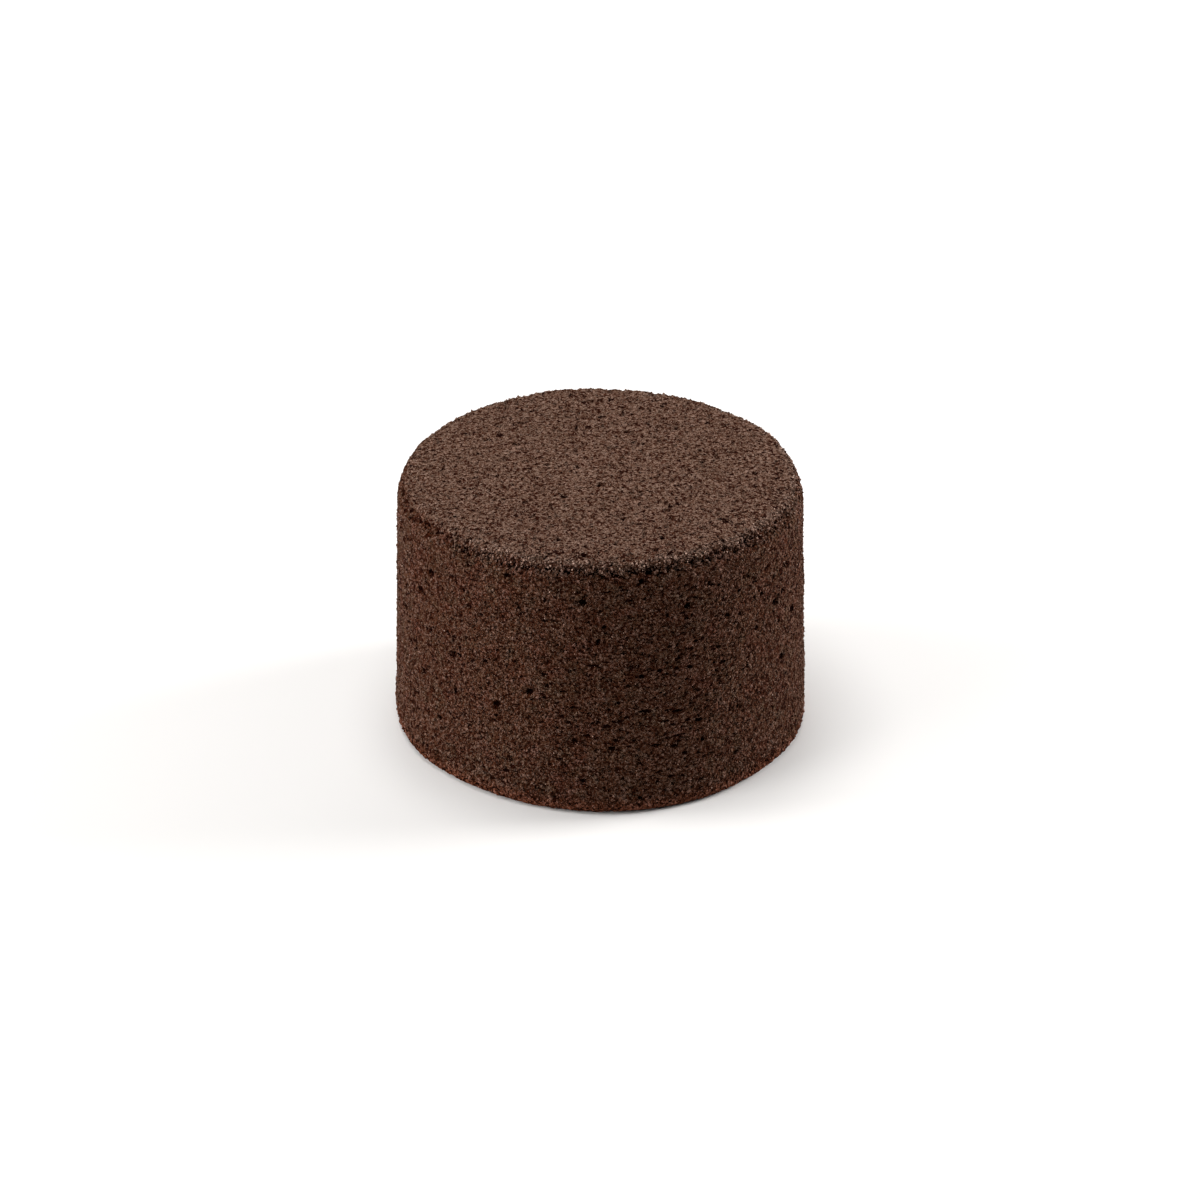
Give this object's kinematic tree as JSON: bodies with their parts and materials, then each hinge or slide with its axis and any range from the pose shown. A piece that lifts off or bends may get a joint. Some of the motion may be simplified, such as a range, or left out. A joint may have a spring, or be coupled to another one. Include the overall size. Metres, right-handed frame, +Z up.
{
  "type": "chocolate mud cake",
  "caption": "Round undecorated chocolate mud cake, tall and straight-sided with a worn top rim, a flat base and a dense dark crumb full of small pores.",
  "frame": {"origin": "middle of the flat base", "axes": "+Z up through the middle of the cake, +Y towards its back as pictured"},
  "size_m": [0.157, 0.1572, 0.1033],
  "materials": {
    "crumb": "matte"
  },
  "bodies": {
    "root": {"cake": "crumb"}
  },
  "joints": []
}
